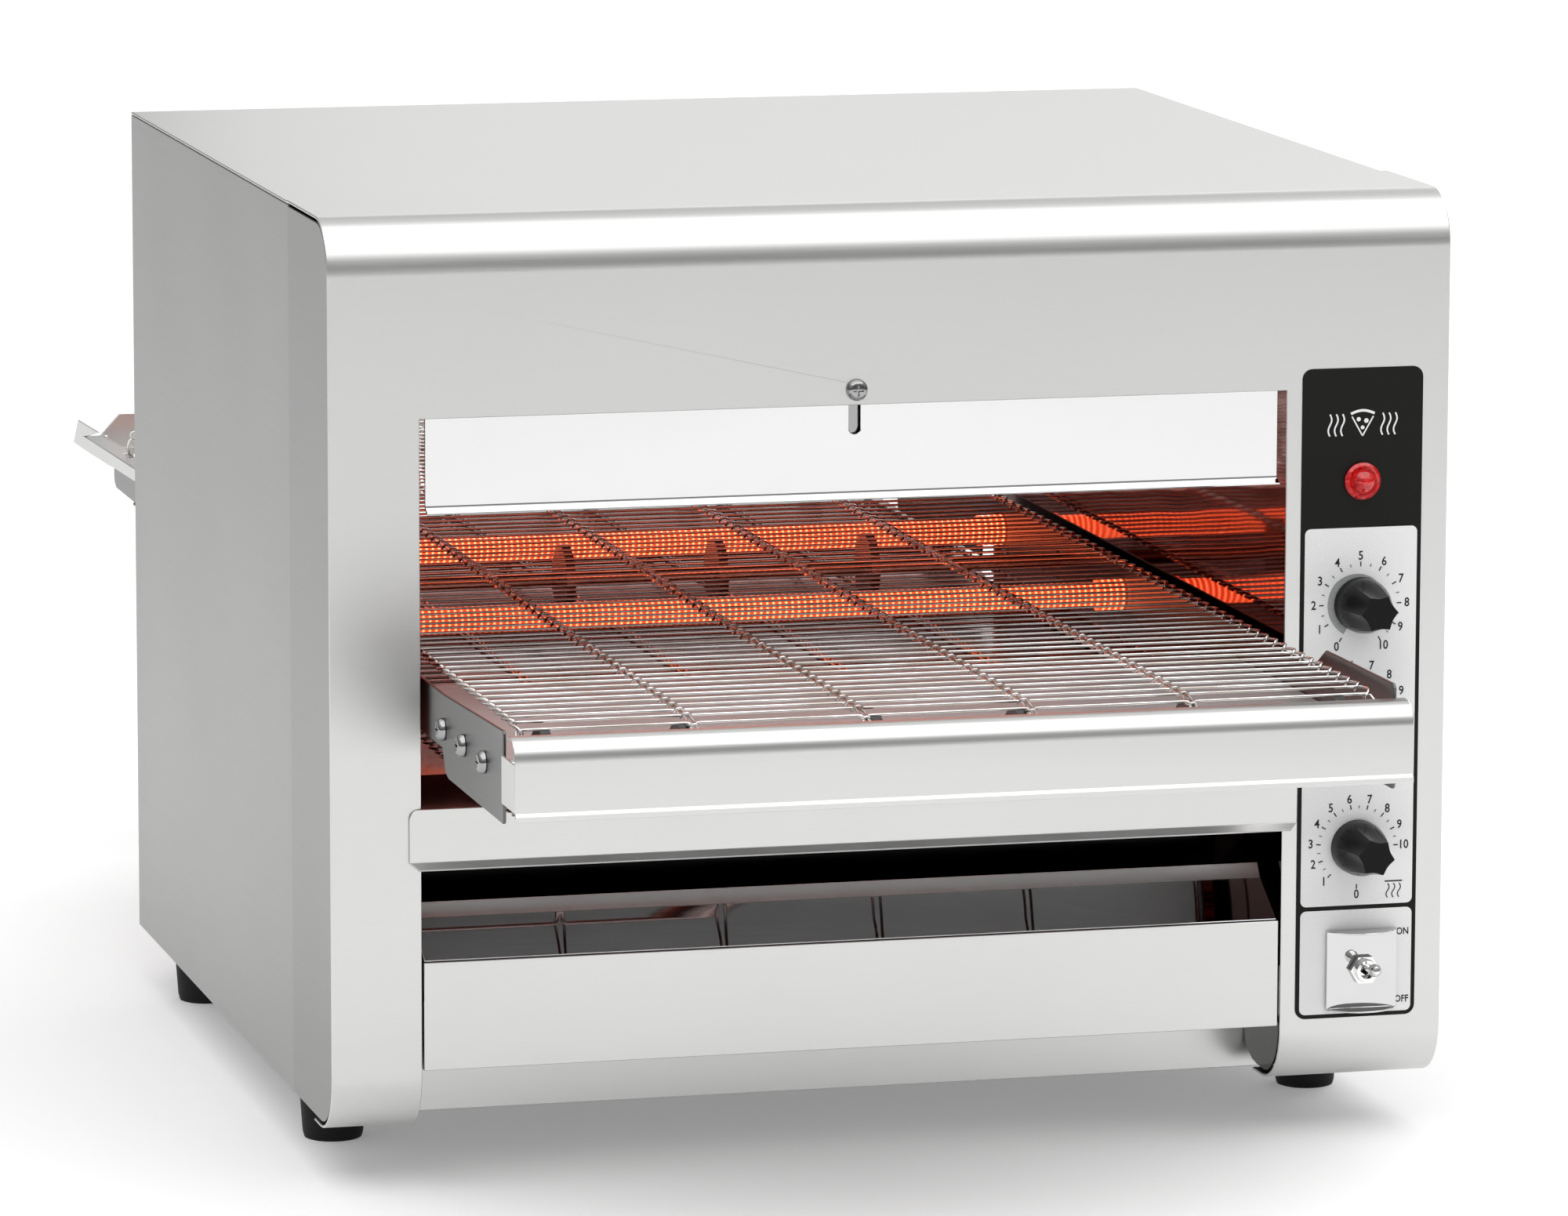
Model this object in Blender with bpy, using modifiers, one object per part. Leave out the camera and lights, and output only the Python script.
"""Countertop conveyor pizza oven: stainless body, mesh belt through a quartz-heated chamber,
height gate, collecting tray, three rotary controls and a guarded toggle switch."""

import math

import bmesh
import bpy
from mathutils import Matrix, Vector

# ---------------------------------------------------------------- driving dimensions (metres)
# Local frame while drawing: x from the left side, y from the front plane backwards,
# z from the underside of the body. OFFSET moves it to the shared frame.
BODY_W = 0.570
BODY_D = 0.535
BODY_H = 0.449
FOOT_H = 0.031
FOOT_D = 0.033
REACH_FRONT = 0.201
REACH_REAR = 0.999
SEAM_Y = 0.099
SKIN = 0.0012
BEND_R = 0.027
CURL_R = 0.029
OPEN_X0 = 0.0452
OPEN_X1 = 0.4856
OPEN_TOP = 0.352
MID_X = 0.2654
PANEL_X = 0.5250
KNOB_Z = (0.2431, 0.1880, 0.1198)
LAMP_Z = 0.3055
SWITCH = (0.5286, 0.0573)
GATE_SCREW = (0.2642, 0.3594)
AXLE_Z = 0.208
AXLE_FRONT = -0.157
AXLE_REAR = 0.8365
DRIVE_Y = 0.385
LOOP_R = 0.0215
LOOP_T = 0.0020
BELT_X = (0.0535, 0.4773)
RAIL_X = (0.0480, 0.4813)
RAIL_T = 0.0015
WALL_X = (0.0400, 0.4895)
MOTOR = (0.385, 0.095)
CHAIN_X = 0.5080

OFFSET = Vector((-BODY_W / 2, -(REACH_REAR - REACH_FRONT) / 2, FOOT_H))

# ---------------------------------------------------------------- scene set-up
for old in list(bpy.data.objects):
    bpy.data.objects.remove(old, do_unlink=True)

oven = bpy.data.collections.new("conveyor_pizza_oven")
cutters = bpy.data.collections.new("cutters")
bpy.context.scene.collection.children.link(oven)
bpy.context.scene.collection.children.link(cutters)

MATERIALS = {}


def material(name, colour, metallic, roughness, glow=0.0):
    mat = bpy.data.materials.new(name)
    mat.use_nodes = True
    shader = mat.node_tree.nodes["Principled BSDF"]
    shader.inputs["Base Color"].default_value = (*colour, 1.0)
    shader.inputs["Metallic"].default_value = metallic
    shader.inputs["Roughness"].default_value = roughness
    if glow:
        shader.inputs["Emission Color"].default_value = (*colour, 1.0)
        shader.inputs["Emission Strength"].default_value = glow
    mat.diffuse_color = (*colour, 1.0)
    MATERIALS[name] = mat


material("brushed_skin", (0.62, 0.62, 0.61), 1.0, 0.34)
material("side_skin", (0.58, 0.58, 0.57), 1.0, 0.40)
material("polished_sheet", (0.80, 0.80, 0.79), 1.0, 0.10)
material("chamber_sheet", (0.66, 0.63, 0.60), 1.0, 0.22)
material("belt_wire", (0.60, 0.59, 0.57), 1.0, 0.25)
material("plain_steel", (0.50, 0.50, 0.50), 1.0, 0.35)
material("bright_steel", (0.78, 0.78, 0.77), 1.0, 0.12)
material("black_inner", (0.015, 0.015, 0.015), 0.0, 0.60)
material("black_plastic", (0.018, 0.018, 0.018), 0.0, 0.32)
material("foot_rubber", (0.012, 0.012, 0.012), 0.0, 0.75)
material("label_film", (0.020, 0.020, 0.019), 0.0, 0.45)
material("lamp_red", (0.75, 0.015, 0.010), 0.0, 0.12, 0.6)
material("quartz_heater", (1.0, 0.16, 0.03), 0.0, 0.25, 3.0)
material("motor_paint", (0.10, 0.10, 0.11), 0.0, 0.45)


# ---------------------------------------------------------------- helpers
def keep(obj, name, mat, smooth=False):
    """Name an object, give it its own material and move it into the oven collection."""
    obj.name = name
    obj.data.name = name
    own = MATERIALS[mat].copy()
    own.name = name + "_" + mat
    obj.data.materials.clear()
    obj.data.materials.append(own)
    for home in list(obj.users_collection):
        home.objects.unlink(obj)
    oven.objects.link(obj)
    if smooth and obj.type == "MESH":
        obj.data.shade_smooth()
        obj.data.set_sharp_from_angle(angle=math.radians(32))
    return obj


def mesh_object(verts, faces, name):
    mesh = bpy.data.meshes.new(name)
    mesh.from_pydata([tuple(Vector(v) + OFFSET) for v in verts], [], faces)
    mesh.validate()
    mesh.update()
    return bpy.data.objects.new(name, mesh)


def face_out(obj):
    work = bmesh.new()
    work.from_mesh(obj.data)
    bmesh.ops.recalc_face_normals(work, faces=work.faces)
    work.to_mesh(obj.data)
    work.free()


def solidify(obj, thickness, offset=-1.0):
    mod = obj.modifiers.new("thickness", "SOLIDIFY")
    mod.thickness = thickness
    mod.offset = offset
    mod.use_even_offset = True


def bevel(obj, width, segments=2):
    mod = obj.modifiers.new("edge", "BEVEL")
    mod.width = width
    mod.segments = segments
    mod.limit_method = "ANGLE"
    mod.angle_limit = math.radians(40)


def box(name, lo, hi, mat, edge=0.0):
    low, high = Vector(lo), Vector(hi)
    work = bmesh.new()
    bmesh.ops.create_cube(work, size=1.0)
    bmesh.ops.scale(work, verts=work.verts, vec=high - low)
    mesh = bpy.data.meshes.new(name)
    work.to_mesh(mesh)
    work.free()
    obj = bpy.data.objects.new(name, mesh)
    obj.location = (low + high) / 2 + OFFSET
    keep(obj, name, mat)
    if edge:
        bevel(obj, edge)
    return obj


def arc(cy, cz, radius, a0, a1, steps):
    """Points of an arc in a side view, angles in degrees."""
    out = []
    for i in range(steps + 1):
        a = math.radians(a0 + (a1 - a0) * i / steps)
        out.append((cy + radius * math.cos(a), cz + radius * math.sin(a)))
    return out


def rounded(x0, z0, x1, z1, radius, steps=6):
    """Rectangle outline with rounded corners."""
    out = []
    corners = ((x1, z1, 0), (x0, z1, 90), (x0, z0, 180), (x1, z0, 270))
    for cx, cz, start in corners:
        ox = cx - radius if cx == x1 else cx + radius
        oz = cz - radius if cz == z1 else cz + radius
        out += arc(ox, oz, radius, start, start + 90, steps)
    return out


def circle(cx, cz, radius, steps=24):
    return arc(cx, cz, radius, 0, 360 - 360 / steps, steps - 1)


AXES = {
    "yz": Matrix(((0, 0, 1), (1, 0, 0), (0, 1, 0))),
    "xz": Matrix(((1, 0, 0), (0, 0, -1), (0, 1, 0))),
}
NORMALS = {"yz": Vector((1, 0, 0)), "xz": Vector((0, 1, 0))}


def plate(name, plane, near, far, outline, mat, holes=()):
    """Flat plate: an outline with optional holes, between two positions along its normal."""
    curve = bpy.data.curves.new(name, "CURVE")
    curve.dimensions = "2D"
    curve.fill_mode = "BOTH"
    curve.extrude = abs(far - near) / 2
    for ring in (outline, *holes):
        spline = curve.splines.new("POLY")
        spline.points.add(len(ring) - 1)
        for point, (a, b) in zip(spline.points, ring):
            point.co = (a, b, 0, 1)
        spline.use_cyclic_u = True
    obj = bpy.data.objects.new(name, curve)
    middle = NORMALS[plane] * ((near + far) / 2)
    obj.matrix_world = Matrix.Translation(middle + OFFSET) @ AXES[plane].to_4x4()
    keep(obj, name, mat)
    return obj


def bent(name, profile, x0, x1, thickness, mat, offset=-1.0, smooth=True):
    """Folded sheet: a side-view line drawn across the width, then given its thickness."""
    n = len(profile)
    verts = [(x, y, z) for x in (x0, x1) for y, z in profile]
    faces = [(i, i + 1, n + i + 1, n + i) for i in range(n - 1)]
    obj = keep(mesh_object(verts, faces, name), name, mat, smooth)
    solidify(obj, thickness, offset)
    return obj


def turned(name, profile, centre, axis, mat, steps=32, smooth=True):
    """Turned piece: (radius, height) pairs revolved about an axis through centre."""
    if profile[0][1] < profile[-1][1]:
        profile = list(reversed(profile))
    mesh = bpy.data.meshes.new(name)
    mesh.from_pydata([(r, 0, h) for r, h in profile], [(i, i + 1) for i in range(len(profile) - 1)], [])
    obj = bpy.data.objects.new(name, mesh)
    mod = obj.modifiers.new("turn", "SCREW")
    mod.steps = steps
    mod.render_steps = steps
    mod.use_merge_vertices = True
    mod.merge_threshold = 0.00001
    mod.use_smooth_shade = smooth
    turn = Vector((0, 0, 1)).rotation_difference(Vector(axis)).to_matrix().to_4x4()
    obj.matrix_world = Matrix.Translation(Vector(centre) + OFFSET) @ turn
    return keep(obj, name, mat)


def cutter_cylinder(name, x, z, radius, y0, y1, steps=24):
    mesh = bpy.data.meshes.new(name)
    work = bmesh.new()
    bmesh.ops.create_cone(work, cap_ends=True, segments=steps, radius1=radius, radius2=radius,
                          depth=abs(y1 - y0))
    work.to_mesh(mesh)
    work.free()
    obj = bpy.data.objects.new(name, mesh)
    middle = Vector((x, (y0 + y1) / 2, z)) + OFFSET
    obj.matrix_world = Matrix.Translation(middle) @ Matrix.Rotation(math.pi / 2, 4, "X")
    return hide_cutter(obj)


def cutter_prism(name, ring, y0, y1):
    """Cutter with a free outline in the front plane."""
    work = bmesh.new()
    face = work.faces.new([work.verts.new(Vector((x, y0, z)) + OFFSET) for x, z in ring])
    grown = bmesh.ops.extrude_face_region(work, geom=[face])["geom"]
    far = [item for item in grown if isinstance(item, bmesh.types.BMVert)]
    bmesh.ops.translate(work, verts=far, vec=(0, y1 - y0, 0))
    bmesh.ops.recalc_face_normals(work, faces=work.faces)
    mesh = bpy.data.meshes.new(name)
    work.to_mesh(mesh)
    work.free()
    return hide_cutter(bpy.data.objects.new(name, mesh))


def cross_recess(obj, centre, axis, crown, depth=0.0017, arm=0.0026, half=0.0005):
    """Cross recess in a screw head: a plus-shaped cutter sunk below the crown."""
    plus = [(half, arm), (half, half), (arm, half), (arm, -half), (half, -half), (half, -arm),
            (-half, -arm), (-half, -half), (-arm, -half), (-arm, half), (-half, half), (-half, arm)]
    work = bmesh.new()
    face = work.faces.new([work.verts.new((a, b, crown - depth)) for a, b in plus])
    grown = bmesh.ops.extrude_face_region(work, geom=[face])["geom"]
    top = [item for item in grown if isinstance(item, bmesh.types.BMVert)]
    bmesh.ops.translate(work, verts=top, vec=(0, 0, depth + 0.0010))
    bmesh.ops.recalc_face_normals(work, faces=work.faces)
    mesh = bpy.data.meshes.new(obj.name + "_recess")
    work.to_mesh(mesh)
    work.free()
    tool = bpy.data.objects.new(mesh.name, mesh)
    turn = Vector((0, 0, 1)).rotation_difference(Vector(axis)).to_matrix().to_4x4()
    tool.matrix_world = Matrix.Translation(Vector(centre) + OFFSET) @ turn
    cut(obj, hide_cutter(tool))


def hide_cutter(obj):
    cutters.objects.link(obj)
    obj.hide_render = True
    obj.display_type = "WIRE"
    return obj


def cut(obj, tool):
    mod = obj.modifiers.new("hole", "BOOLEAN")
    mod.operation = "DIFFERENCE"
    mod.solver = "EXACT"
    mod.object = tool


def moving(obj, name, pivot):
    """Parent a moving piece to an empty that sits on its joint axis."""
    empty = bpy.data.objects.new(name, None)
    empty.empty_display_size = 0.01
    empty.location = Vector(pivot) + OFFSET
    oven.objects.link(empty)
    bpy.context.view_layer.update()
    place = obj.matrix_world.copy()
    obj.parent = empty
    obj.matrix_parent_inverse = empty.matrix_world.inverted()
    obj.matrix_world = place


# ---------------------------------------------------------------- front section
def side_line(inset):
    """Outer line of the front section from the seam over the top, down and under the leg."""
    top = BODY_H - inset
    bend = BEND_R - inset
    curl = CURL_R - inset
    line = [(SEAM_Y, top)]
    line += arc(BEND_R, BODY_H - BEND_R, bend, 90, 180, 10)
    line += arc(CURL_R, CURL_R - 0.002, curl, 180, 270, 8)
    return line


def front_cover():
    line = side_line(0.0)
    line.append((0.044, -0.002))
    columns = (0.0, OPEN_X0, OPEN_X1, BODY_W)
    lower = [i for i, (y, z) in enumerate(line) if z < OPEN_TOP][0]
    line.insert(lower, (0.0, OPEN_TOP))
    n = len(line)
    verts = [(x, y, z) for x in columns for y, z in line]
    faces = []
    for c in range(3):
        last = lower if c == 1 else n - 1
        for i in range(last):
            faces.append((c * n + i, c * n + i + 1, (c + 1) * n + i + 1, (c + 1) * n + i))
    used = sorted({v for f in faces for v in f})
    index = {v: k for k, v in enumerate(used)}
    obj = mesh_object([verts[v] for v in used],
                      [tuple(index[v] for v in f) for f in faces], "front_cover")
    keep(obj, "front_cover", "brushed_skin", smooth=True)
    solidify(obj, SKIN)
    holes = [(PANEL_X, z, 0.0040) for z in KNOB_Z]
    holes += [(PANEL_X, LAMP_Z, 0.0065), (SWITCH[0], SWITCH[1], 0.0062)]
    holes += [(GATE_SCREW[0], GATE_SCREW[1], 0.0024)]
    for k, (x, z, r) in enumerate(holes):
        cut(obj, cutter_cylinder("cover_hole_%d" % k, x, z, r, -0.01, 0.01))
    return obj


front_cover()


def cheek(name, x0, x1):
    line = side_line(0.0030)
    line[0] = (SEAM_Y - 0.0004, line[0][1])
    line += [(0.0840, 0.0010), (SEAM_Y - 0.0004, 0.0010)]
    plate(name, "yz", x0, x1, line, "side_skin")


cheek("left_cheek", 0.0004, 0.0016)
cheek("right_cheek", BODY_W - 0.0016, BODY_W - 0.0004)


def leg_liner(name, x0, x1):
    """Black inner side of a front leg, following the curl under it."""
    line = [(0.0030, 0.0270)] + arc(0.0285, 0.0270, 0.0255, 188, 262, 6)
    line += [(0.0380, 0.0021), (0.0457, 0.0032), (0.0520, 0.0060), (0.0560, 0.0090), (0.0585, 0.0125)]
    line += [(0.0600, 0.0180), (0.0600, 0.0600), (0.0030, 0.0600)]
    plate(name, "yz", x0, x1, line, "black_inner")


leg_liner("leg_liner_left", 0.0436, 0.0448)
leg_liner("leg_liner_right", 0.4858, 0.4870)

# ---------------------------------------------------------------- rear wrapper, base, rear panel
box("top_panel", (0.0010, SEAM_Y, BODY_H - 0.0022), (BODY_W - 0.0010, BODY_D, BODY_H - 0.0010),
    "brushed_skin")
for side, x0 in (("left", 0.0010), ("right", BODY_W - 0.0022)):
    box(side + "_panel", (x0, SEAM_Y, 0.0), (x0 + SKIN, BODY_D, BODY_H - 0.0025), "side_skin")

rear_outline = [(0.0026, 0.0016), (BODY_W - 0.0026, 0.0016),
                (BODY_W - 0.0026, BODY_H - 0.0028), (0.0026, BODY_H - 0.0028)]
exit_window = [(0.0430, 0.1660), (0.4870, 0.1660), (0.4870, 0.3100), (0.0430, 0.3100)]
gland_hole = circle(0.5250, 0.0600, 0.0082)
plate("rear_panel", "xz", BODY_D - 0.0030, BODY_D - 0.0018, rear_outline, "side_skin",
      holes=(exit_window, gland_hole))
box("base_pan", (0.0026, 0.0620, 0.0), (BODY_W - 0.0026, BODY_D - 0.0034, SKIN), "plain_steel")
box("base_rail", (0.0360, 0.0604, -0.0040), (0.4940, 0.0616, 0.0286), "side_skin")


def foot(name, x, y):
    r = FOOT_D / 2
    profile = [(0.0, -0.0003), (r, -0.0003), (r, -0.0120), (r * 0.93, -FOOT_H + 0.0030),
               (r * 0.88, -FOOT_H), (0.0, -FOOT_H)]
    turned(name, profile, (x, y, 0.0), (0, 0, 1), "foot_rubber", 28)


for tag, fx in (("left", 0.0273), ("right", BODY_W - 0.0273)):
    foot("foot_front_" + tag, fx, 0.1330)
    foot("foot_rear_" + tag, fx, 0.4770)

# ---------------------------------------------------------------- cross rail over the legs
def cross_rail():
    x0, x1, z0, z1 = 0.0390, 0.4928, 0.1338, 0.1602
    y = -0.0016
    face = [(x1, y, z0), (x1, y, z1 - 0.005)]
    face += [(a, y, b) for a, b in arc(x1 - 0.005, z1 - 0.005, 0.005, 0, 90, 5)[1:]]
    face += [(a, y, b) for a, b in arc(x0 + 0.005, z1 - 0.005, 0.005, 90, 180, 5)]
    face += [(x0, y, z0)]
    n = len(face)
    verts = face + [(x0 + 0.004, y - 0.0034, z0 - 0.0030), (x1 - 0.004, y - 0.0034, z0 - 0.0030)]
    obj = mesh_object(verts, [tuple(range(n)), (0, n - 1, n, n + 1)], "cross_rail")
    keep(obj, "cross_rail", "brushed_skin")
    solidify(obj, 0.0011)


cross_rail()

# ---------------------------------------------------------------- height gate and its screw
def height_gate():
    line = [(0.0036, 0.3950), (0.0036, 0.3090), (0.0029, 0.3077), (0.0010, 0.3067), (-0.0016, 0.3060)]
    obj = bent("height_gate", line, 0.0485, 0.4819, 0.0010, "polished_sheet")
    slot = arc(GATE_SCREW[0], 0.3400, 0.0030, 180, 360, 10)
    slot += arc(GATE_SCREW[0], 0.3850, 0.0030, 0, 180, 10)
    cut(obj, cutter_prism("gate_slot", slot, -0.004, 0.012))
    return obj


gate = height_gate()
moving(gate, "gate_travel", (GATE_SCREW[0], 0.0030, 0.3500))


def pan_head(radius, height, steps=5):
    """Domed head, from its rim round to the crown."""
    out = [(radius, 0.0)]
    for i in range(1, steps):
        a = math.pi / 2 * i / steps
        out.append((radius * math.cos(a * 0.85) ** 0.6, height * math.sin(a)))
    out.append((0.0, height))
    return out


screw_line = [(0.0, -0.0125), (0.0050, -0.0125), (0.0050, -0.0085), (0.0240, -0.0085),
              (0.0240, -0.0070), (0.0020, -0.0070), (0.0020, 0.0003)]
screw_line += [(r, h + 0.0003) for r, h in pan_head(0.0054, 0.0036)]
gate_axis = (GATE_SCREW[0], 0.0, GATE_SCREW[1])
screw = turned("gate_screw", screw_line, gate_axis, (0, -1, 0), "bright_steel", 24)
cross_recess(screw, gate_axis, (0, -1, 0), 0.0039)

# ---------------------------------------------------------------- chamber sheets and heaters
wall_outline = [(0.0060, 0.0640), (0.5305, 0.0640), (0.5305, 0.3600), (0.0060, 0.3600)]
plate("chamber_wall_left", "yz", WALL_X[0], WALL_X[0] + SKIN, wall_outline, "chamber_sheet")
plate("chamber_wall_right", "yz", WALL_X[1], WALL_X[1] + SKIN, wall_outline, "chamber_sheet",
      holes=(circle(DRIVE_Y, AXLE_Z, 0.0048),))
box("chamber_roof", (0.0415, 0.0160, 0.3610), (0.4893, 0.5305, 0.3622), "chamber_sheet")
bent("chamber_floor", [(0.0700, 0.1000), (0.0700, 0.1630), (0.5180, 0.1630), (0.5290, 0.1685),
                       (0.6000, 0.1835), (0.7680, 0.1835)], 0.0436, 0.4864, SKIN,
     "chamber_sheet", smooth=False)


def heater(name, y, z, x0, x1):
    end, r = 0.0140, 0.0070
    profile = [(0.0, 0.0), (0.0085, 0.0), (0.0085, end), (r, end)]
    profile += [(r, x1 - x0 - end), (0.0085, x1 - x0 - end), (0.0085, x1 - x0), (0.0, x1 - x0)]
    turned(name, profile, (x0, y, z), (1, 0, 0), "quartz_heater", 20)


heater("upper_heater_front", 0.170, 0.3420, 0.0416, 0.4891)
heater("upper_heater_rear", 0.400, 0.3420, 0.0416, 0.4891)
heater("lower_heater_front", 0.265, AXLE_Z, 0.0500, 0.4808)
heater("lower_heater_rear", 0.495, AXLE_Z, 0.0500, 0.4808)

# ---------------------------------------------------------------- conveyor frame
def rail_outline(front_end, top):
    """Rail seen from the side, deeper behind the body; top is the edge beside the belt's front end."""
    front = [(front_end, 0.1855), (front_end + 0.0015, 0.1840), (-0.0500, 0.1840),
             (-0.0430, 0.1862), (-0.0370, 0.1970)]
    rear = [(0.5380, 0.1970), (0.5400, 0.1862), (0.7150, 0.1862), (0.7170, 0.1970),
            (0.7210, 0.1945), (0.7260, 0.1935), (0.8610, 0.1935), (0.8660, 0.1960),
            (0.8676, 0.2000), (0.8676, 0.2095), (0.8660, 0.2108), (0.7680, 0.2108), (0.7580, 0.2235)]
    return front + rear + top


LEFT_TOP = [(-0.0400, 0.2235), (-0.1690, 0.2285), (-0.1705, 0.2270)]
RIGHT_TOP = [(-0.0600, 0.2235), (-0.0786, 0.2342), (-0.1815, 0.2352), (-0.1835, 0.2330)]


plate("rail_left", "yz", RAIL_X[0], RAIL_X[0] + RAIL_T,
      rail_outline(-0.1705, LEFT_TOP), "side_skin")
plate("rail_right", "yz", RAIL_X[1], RAIL_X[1] + RAIL_T,
      rail_outline(-0.1835, RIGHT_TOP), "side_skin", holes=(circle(DRIVE_Y, AXLE_Z, 0.0048),))
box("conveyor_plate", (RAIL_X[0] + RAIL_T + 0.0004, -0.1340, 0.2065),
    (RAIL_X[1] - 0.0004, 0.0750, 0.2077), "side_skin")

rail_head = [(0.0, 0.0003)] + [(r, h + 0.0003) for r, h in pan_head(0.0056, 0.0034)]
for k, sy in enumerate((-0.1299, -0.0844, -0.0395)):
    for side, face_x, out in (("left", RAIL_X[0], -1), ("right", RAIL_X[1] + RAIL_T, 1)):
        seat = (face_x, sy, 0.2066)
        screw = turned("rail_screw_%s_%d" % (side, k + 1), rail_head, seat, (out, 0, 0),
                       "bright_steel", 20)
        cross_recess(screw, seat, (out, 0, 0), 0.0037)


def front_guard():
    """Bent guard along the front edge, with a tab folded back at each end."""
    x0, x1 = 0.0468, 0.4862
    y = -0.2000
    line = [(-0.1850, 0.2287), (-0.1915, 0.2285), (-0.1950, 0.2271), (-0.1980, 0.2246),
            (-0.1996, 0.2213), (y, 0.2176), (y, 0.1944), (y - 0.0010, 0.1928), (y - 0.0010, 0.1902)]
    n = len(line)
    verts = [(x, a, b) for x in (x0, x1) for a, b in line]
    faces = [(i, i + 1, n + i + 1, n + i) for i in range(n - 1)]
    base = len(verts)
    verts += [(x0, -0.1718, 0.2176), (x0, -0.1718, 0.1944)]
    verts += [(x1, -0.1718, 0.2176), (x1, -0.1718, 0.1944)]
    faces.append((5, base, base + 1, 6))
    faces.append((n + 5, n + 6, base + 3, base + 2))
    obj = keep(mesh_object(verts, faces, "front_guard"), "front_guard", "brushed_skin")
    solidify(obj, 0.0010)


front_guard()


def tail_ledge(y):
    return 0.2141 - 0.0265 * (y - 0.7950)


def tail_floor(y):
    return 0.2049 - 0.0305 * (y - 0.8676)


def discharge_tail():
    """Sloping sheet tail behind the belt: floor, two sides ending in an ear, a ledge along each."""
    side = 0.0471
    verts = []
    for y, inner in ((0.7700, 0.0530), (0.8640, 0.0530), (0.8750, 0.0588), (0.9608, 0.0588)):
        left = [(inner, y, tail_ledge(y)), (side, y, tail_ledge(y)), (side, y, tail_floor(y))]
        verts += left + [(2 * MID_X - x, a, z) for x, a, z in reversed(left)]
    faces = []
    for row in (0, 6, 12):
        strips = (0, 1, 2, 3, 4) if row == 12 else (0, 1, 3, 4)
        faces += [(row + i, row + i + 1, row + i + 7, row + i + 6) for i in strips]
    ear = [(0.9105, 0.2191), (0.9820, 0.2167), (REACH_REAR, 0.2009)]
    for x, high, low in ((side, 19, 20), (2 * MID_X - side, 22, 21)):
        start = len(verts)
        verts += [(x, y, z) for y, z in ear]
        faces.append((high, start, start + 1, start + 2, low))
    obj = mesh_object(verts, faces, "discharge_tail")
    face_out(obj)
    keep(obj, "discharge_tail", "side_skin")
    solidify(obj, 0.0010, 0.0)


discharge_tail()
tail_stop = [(0.0600, 0.2031), (0.0600, 0.2107), (0.0555, 0.2107), (0.0670, 0.2235)]
tail_stop += [(2 * MID_X - x, z) for x, z in reversed(tail_stop)]
plate("discharge_stop", "xz", 0.9560, 0.9572, tail_stop, "side_skin")

# ---------------------------------------------------------------- belt, shafts and sprockets
def belt_ring(radius):
    """Belt line round the two end shafts."""
    line = arc(AXLE_FRONT, AXLE_Z, radius, 90, 270, 12)
    return line + arc(AXLE_REAR, AXLE_Z, radius, -90, 90, 12)


plate("mesh_belt", "yz", *BELT_X, belt_ring(LOOP_R), "belt_wire", holes=(belt_ring(LOOP_R - LOOP_T),))


def shaft_line(length, sprockets, radius=0.0040, big=0.0186, width=0.0050):
    line = [(0.0, 0.0), (radius, 0.0)]
    for s in sprockets:
        line += [(radius, s - width / 2), (big, s - width / 2)]
        line += [(big, s + width / 2), (radius, s + width / 2)]
    line += [(radius, length), (0.0, length)]
    return line


inner_x = RAIL_X[0] + RAIL_T + 0.0004
idle_length = RAIL_X[1] - 0.0004 - inner_x
sprocket_x = [x - inner_x for x in (0.0700, 0.1370, 0.2310, 0.3020, 0.3870, 0.4610)]
drive_x = [x - inner_x for x in (0.2060, 0.2900, 0.3740)]
for tag, sy in (("idler_front", AXLE_FRONT), ("idler_rear", AXLE_REAR)):
    piece = turned(tag, shaft_line(idle_length, sprocket_x), (inner_x, sy, AXLE_Z), (1, 0, 0),
                   "bright_steel", 24)
    moving(piece, tag + "_axis", (MID_X, sy, AXLE_Z))

wheel = CHAIN_X - inner_x
drive_line = shaft_line(wheel, drive_x)[:-2]
drive_line += [(0.0040, wheel - 0.0060), (0.0090, wheel - 0.0060), (0.0090, wheel - 0.0015)]
drive_line += [(0.0180, wheel - 0.0015), (0.0180, wheel + 0.0015), (0.0060, wheel + 0.0015)]
drive_line += [(0.0060, wheel + 0.0060), (0.0, wheel + 0.0060)]
piece = turned("drive_shaft", drive_line, (inner_x, DRIVE_Y, AXLE_Z), (1, 0, 0),
               "bright_steel", 20)
moving(piece, "drive_shaft_axis", (MID_X, DRIVE_Y, AXLE_Z))

# ---------------------------------------------------------------- gear motor and chain
box("gear_motor", (0.5200, MOTOR[0] - 0.036, MOTOR[1] - 0.036),
    (0.5640, MOTOR[0] + 0.036, MOTOR[1] + 0.036), "motor_paint", 0.004)
spindle = [(0.0, 0.0), (0.0040, 0.0), (0.0040, 0.0100), (0.0120, 0.0100), (0.0120, 0.0130),
           (0.0040, 0.0130), (0.0040, 0.0170), (0.0, 0.0170)]
piece = turned("motor_sprocket", spindle, (0.5196, MOTOR[0], MOTOR[1]), (-1, 0, 0),
               "plain_steel", 24)
moving(piece, "motor_sprocket_axis", (CHAIN_X, MOTOR[0], MOTOR[1]))


def chain_ring(grow):
    """Chain line round the driven sprocket above and the motor sprocket below."""
    far, near = 0.0185, 0.0125
    tilt = math.degrees(math.asin((far - near) / (AXLE_Z - MOTOR[1])))
    line = arc(DRIVE_Y, AXLE_Z, far + grow, -tilt, 180 + tilt, 14)
    return line + arc(MOTOR[0], MOTOR[1], near + grow, 180 + tilt, 360 - tilt, 14)


plate("drive_chain", "yz", CHAIN_X - 0.0025, CHAIN_X + 0.0025, chain_ring(0.0030), "plain_steel",
      holes=(chain_ring(0.0),))

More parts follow.
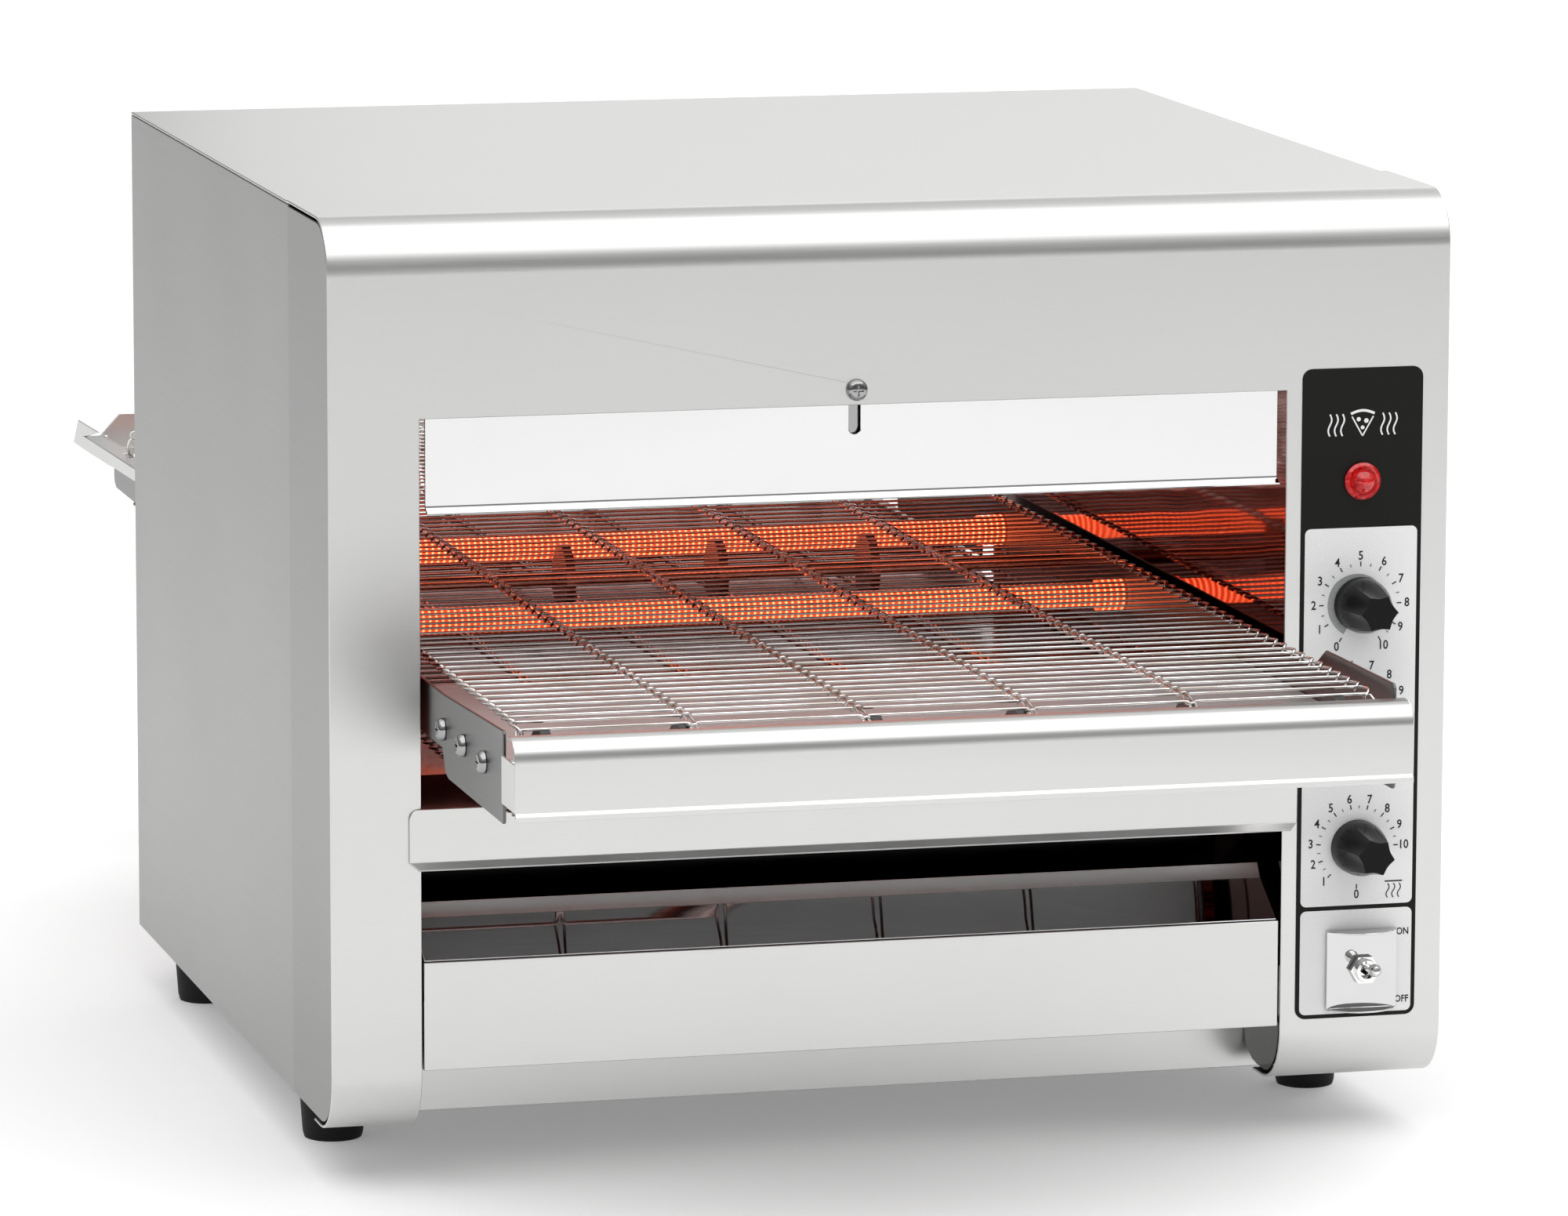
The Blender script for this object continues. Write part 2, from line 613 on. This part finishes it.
# ---------------------------------------------------------------- collecting tray and deflector
def collecting_tray():
    x0, x1, y0, y1 = 0.0463, 0.4845, 0.0004, 0.4700
    low, side, high = 0.0296, 0.0640, 0.0836
    verts = [(x, y, z) for y in (y0, y1) for z in (low, side) for x in (x0, x1)]
    verts += [(x0, y0, high), (x1, y0, high)]
    faces = [(0, 1, 3, 2), (2, 3, 9, 8), (4, 6, 7, 5), (0, 4, 5, 1), (0, 2, 6, 4), (1, 5, 7, 3)]
    obj = mesh_object(verts, faces, "collecting_tray")
    keep(obj, "collecting_tray", "brushed_skin")
    solidify(obj, 0.0010)
    return obj


tray = collecting_tray()
moving(tray, "tray_travel", (MID_X, 0.0, 0.0500))
slope = bent("tray_deflector", [(0.0345, 0.1072), (0.0300, 0.1010), (0.0020, 0.0842)], 0.0468, 0.4838,
             0.0008, "polished_sheet", smooth=False)
moving(slope, "deflector_travel", (MID_X, 0.0, 0.0900))

# ---------------------------------------------------------------- control panel
label_holes = [circle(PANEL_X, z, 0.0040) for z in KNOB_Z]
label_holes += [circle(PANEL_X, LAMP_Z, 0.0065), circle(SWITCH[0], SWITCH[1], 0.0062)]
plate("control_label", "xz", -0.0005, -0.0002, rounded(0.4935, 0.0325, 0.5565, 0.3623, 0.0052),
      "label_film", holes=label_holes)

lamp_line = [(0.0, -0.0160), (0.0060, -0.0160), (0.0060, 0.0008), (0.0092, 0.0008),
             (0.0094, 0.0022), (0.0080, 0.0036), (0.0068, 0.0032), (0.0068, 0.0020),
             (0.0, 0.0020)]
turned("lamp_bezel", lamp_line, (PANEL_X, 0.0, LAMP_Z), (0, -1, 0), "lamp_red", 32)
lens_line = [(0.0, 0.0023), (0.0064, 0.0023), (0.0064, 0.0040), (0.0054, 0.0062), (0.0036, 0.0078),
             (0.0018, 0.0086), (0.0, 0.0088)]
turned("lamp_lens", lens_line, (PANEL_X, 0.0, LAMP_Z), (0, -1, 0), "lamp_red", 32)


def knob(name, z, turn):
    """Star knob: round skirt, tapering grip with six scooped flutes, spindle through the panel."""
    lobes, per = 6, 10
    n = lobes * per
    verts = []
    rows = []

    def ring(y, radius, depth):
        rows.append(len(verts))
        for i in range(n):
            a = math.pi / 2 - math.radians(turn) - 2 * math.pi * i / n
            across = 2.0 * (i % per) / per - 1.0
            r = radius - depth * (1.0 - across * across)
            verts.append((PANEL_X + r * math.cos(a), y, z + r * math.sin(a)))

    ring(0.0060, 0.0030, 0.0)
    ring(-0.0012, 0.0030, 0.0)
    ring(-0.0012, 0.0139, 0.0)
    ring(-0.0070, 0.0138, 0.0)
    for step in range(6):
        along = step / 5.0
        ring(-0.0115 - 0.0185 * along, 0.0131 - 0.0031 * along, 0.0021 * math.sin(along * math.pi / 2))
    ring(-0.0320, 0.0096, 0.0020)
    faces = []
    for a, b in zip(rows, rows[1:]):
        faces += [(a + i, b + i, b + (i + 1) % n, a + (i + 1) % n) for i in range(n)]
    faces.append(tuple(range(n)))
    faces.append(tuple(rows[-1] + i for i in reversed(range(n))))
    obj = mesh_object(verts, faces, name)
    face_out(obj)
    keep(obj, name, "black_plastic", smooth=True)
    moving(obj, name + "_axis", (PANEL_X, 0.0, z))


KNOBS = (("knob_speed", 27), ("knob_upper_heat", 38), ("knob_lower_heat", 38))
for (name, turn), z in zip(KNOBS, KNOB_Z):
    knob(name, z, turn)
    part = name.replace("knob", "regulator")
    box(part, (PANEL_X - 0.019, 0.0068, z - 0.019), (PANEL_X + 0.019, 0.0400, z + 0.019),
        "black_plastic", 0.002)

# ---------------------------------------------------------------- guarded toggle switch
def switch_guard():
    """Bright bracket behind the switch nut, with a curved ear folded out above and below."""
    x0, x1, z0, z1 = 0.5092, 0.5460, 0.0368, 0.0776
    y = -0.0016
    n = 8
    verts = [(x0 + (x1 - x0) * i / n, y, z) for z in (z0, z1) for i in range(n + 1)]
    m = n + 1
    faces = [(i, i + 1, m + i + 1, m + i) for i in range(n)]
    for row, z in ((0, z0), (1, z1)):
        start = len(verts)
        for i in range(1, n):
            u = 2.0 * i / n - 1.0
            reach = 0.0115 * (1.0 - abs(u) ** 2.6)
            verts.append((x0 + (x1 - x0) * i / n, y - reach, z))
        base = row * m
        faces.append((base, start, base + 1))
        faces += [(base + i, start + i - 1, start + i, base + i + 1) for i in range(1, n - 1)]
        faces.append((base + n - 1, start + n - 2, base + n))
    obj = mesh_object(verts, faces, "switch_guard")
    face_out(obj)
    keep(obj, "switch_guard", "polished_sheet")
    solidify(obj, 0.0008)
    cut(obj, cutter_cylinder("guard_hole", SWITCH[0], SWITCH[1], 0.0062, -0.006, 0.004))


switch_guard()


def toggle_body():
    """Switch body behind the panel with its threaded bushing and hex nut in front."""
    x, z = SWITCH
    rings = [(0.0240, 0.0095, 6), (0.0018, 0.0095, 6), (0.0018, 0.0058, 0), (-0.0030, 0.0058, 0),
             (-0.0030, 0.0078, 6), (-0.0062, 0.0078, 6), (-0.0062, 0.0058, 0), (-0.0094, 0.0056, 0),
             (-0.0094, 0.0038, 0), (-0.0050, 0.0034, 0)]
    n = 24
    verts = []
    for y, radius, sides in rings:
        for i in range(n):
            a = 2 * math.pi * i / n
            r = radius
            if sides:
                step = 2 * math.pi / sides
                r = radius / math.cos((a % step) - step / 2) * math.cos(step / 2)
            verts.append((x + r * math.cos(a), y, z + r * math.sin(a)))
    faces = []
    for k in range(len(rings) - 1):
        a, b = k * n, (k + 1) * n
        faces += [(a + i, b + i, b + (i + 1) % n, a + (i + 1) % n) for i in range(n)]
    faces.append(tuple(range(n)))
    faces.append(tuple((len(rings) - 1) * n + i for i in reversed(range(n))))
    obj = mesh_object(verts, faces, "toggle_body")
    face_out(obj)
    keep(obj, "toggle_body", "bright_steel")


toggle_body()
lever_tilt = math.radians(11)
lever_line = [(0.0, -0.0012), (0.0022, 0.0), (0.0016, 0.0030), (0.0015, 0.0085), (0.0028, 0.0118),
              (0.0033, 0.0140), (0.0030, 0.0160), (0.0018, 0.0175), (0.0, 0.0180)]
lever_dir = (0.0, -math.cos(lever_tilt), math.sin(lever_tilt))
lever = turned("toggle_lever", lever_line, (SWITCH[0], -0.0064, SWITCH[1]), lever_dir,
               "bright_steel", 20)
moving(lever, "toggle_axis", (SWITCH[0], -0.0064, SWITCH[1]))

# ---------------------------------------------------------------- rear inlet
gland = [(0.0, -0.0140), (0.0078, -0.0140), (0.0078, 0.0010), (0.0120, 0.0010), (0.0120, 0.0070),
         (0.0095, 0.0100), (0.0090, 0.0170), (0.0045, 0.0180), (0.0, 0.0180)]
turned("inlet_gland", gland, (0.5250, BODY_D - 0.0018, 0.0600), (0, 1, 0), "black_plastic", 24)
